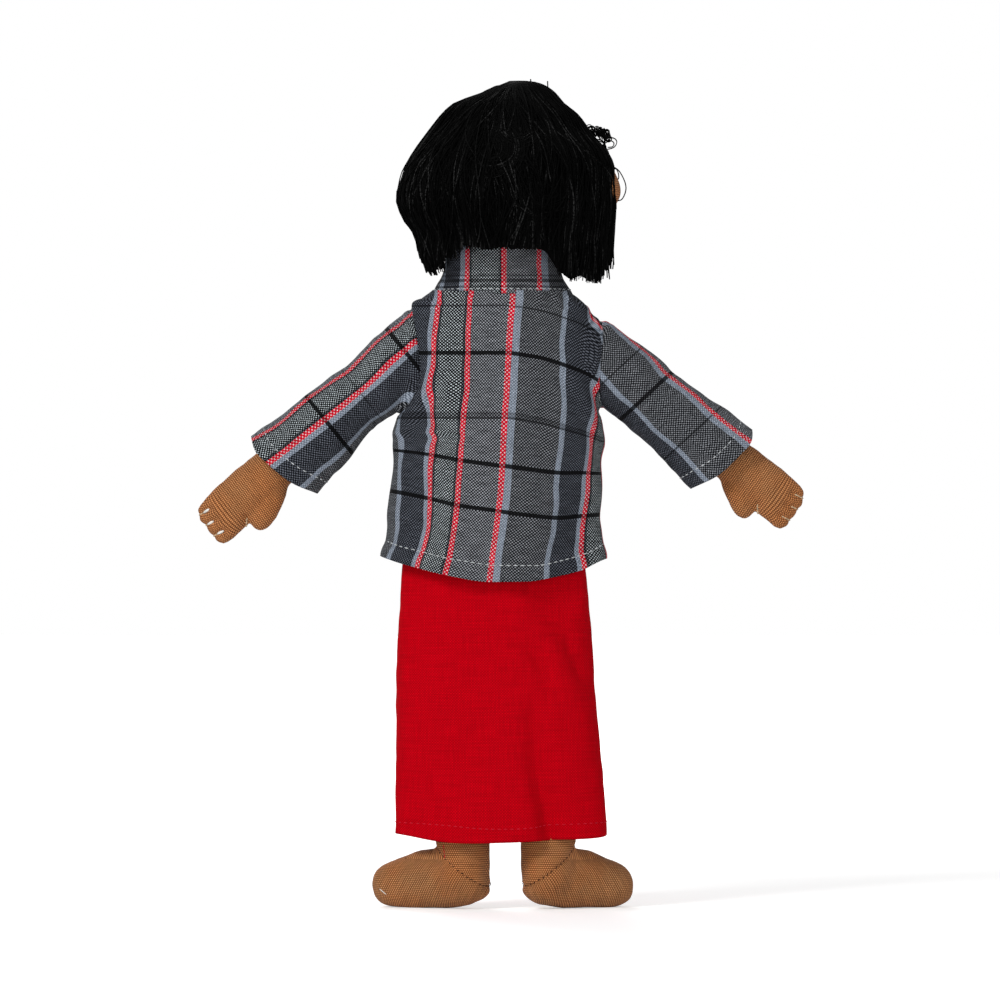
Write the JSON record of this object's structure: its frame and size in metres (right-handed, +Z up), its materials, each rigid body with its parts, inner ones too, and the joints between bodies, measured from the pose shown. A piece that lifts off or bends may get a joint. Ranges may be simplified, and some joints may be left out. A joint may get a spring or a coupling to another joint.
{
  "type": "handloom doll",
  "caption": "Stuffed cloth doll with black thread hair, plaid handloom jacket and straight red skirt; its head turns, its arms swing and it sits down at the hips.",
  "frame": {"origin": "On the surface that the doll stands on, under the middle of its box.", "axes": "+Z is up, the chest faces -Y, and +X is the doll's left."},
  "size_m": [0.2624, 0.0946, 0.3554],
  "materials": {
    "brown_cotton": "plain-woven brown cotton, stuffed tight",
    "stuffing_fibre": "loose white fibre",
    "plaid_handloom": "handloom plaid of grey, black, white, light blue and red cotton threads",
    "red_handloom": "slubby red handloom cotton",
    "hair_thread": "black cotton thread",
    "elastic_web": "white knitted elastic",
    "button_plastic": "dark moulded buttons",
    "eye_thread": "satin-stitched dark thread",
    "mouth_thread": "satin-stitched red thread"
  },
  "bodies": {
    "torso": {"torso_skin": "brown_cotton", "torso_stuffing": "stuffing_fibre", "jacket_back": "plaid_handloom", "jacket_front_left": "plaid_handloom", "jacket_front_right": "plaid_handloom", "jacket_collar": "plaid_handloom", "waistband": "red_handloom", "waist_elastic": "elastic_web", "skirt": "red_handloom", "jacket_button_1": "button_plastic", "jacket_button_2": "button_plastic", "jacket_button_3": "button_plastic", "jacket_button_4": "button_plastic"},
    "arm_left": {"arm_skin_left": "brown_cotton", "arm_stuffing_left": "stuffing_fibre", "sleeve_left": "plaid_handloom"},
    "arm_right": {"arm_skin_right": "brown_cotton", "arm_stuffing_right": "stuffing_fibre", "sleeve_right": "plaid_handloom"},
    "leg_left": {"leg_skin_left": "brown_cotton", "leg_stuffing_left": "stuffing_fibre", "foot_skin_left": "brown_cotton", "foot_stuffing_left": "stuffing_fibre"},
    "leg_right": {"leg_skin_right": "brown_cotton", "leg_stuffing_right": "stuffing_fibre", "foot_skin_right": "brown_cotton", "foot_stuffing_right": "stuffing_fibre"},
    "head": {"head_skin": "brown_cotton", "head_stuffing": "stuffing_fibre", "eye_left": "eye_thread", "eye_right": "eye_thread", "mouth": "mouth_thread", "hair_fringe": "hair_thread", "hair_back": "hair_thread", "hair_side_left": "hair_thread", "hair_side_right": "hair_thread"}
  },
  "joints": [
    {"name": "head_turn", "type": "hinge", "parent": "torso", "child": "head", "pos_m": [0.00156, 0.00392, 0.2855], "axis": [0, 0, 1], "range_deg": [-15, 95]},
    {"name": "shoulder_left", "type": "hinge", "parent": "torso", "child": "arm_left", "pos_m": [0.03956, 0.00392, 0.2336], "axis": [0, -1, 0], "range_deg": [-8, 50], "deforming": ["sleeve_left"]},
    {"name": "shoulder_right", "type": "hinge", "parent": "torso", "child": "arm_right", "pos_m": [-0.03644, 0.00392, 0.2336], "axis": [0, 1, 0], "range_deg": [-8, 50], "deforming": ["sleeve_right"]},
    {"name": "hip_left", "type": "hinge", "parent": "torso", "child": "leg_left", "pos_m": [0.02006, 0.00392, 0.128], "axis": [-1, 0, 0], "range_deg": [-20, 90], "deforming": ["skirt"]},
    {"name": "hip_right", "type": "hinge", "parent": "torso", "child": "leg_right", "pos_m": [-0.01694, 0.00392, 0.128], "axis": [-1, 0, 0], "range_deg": [-20, 90], "deforming": ["skirt"]}
  ],
  "couplings": [
    {"joint": "hip_right", "follows": "hip_left", "ratio": 1}
  ]
}
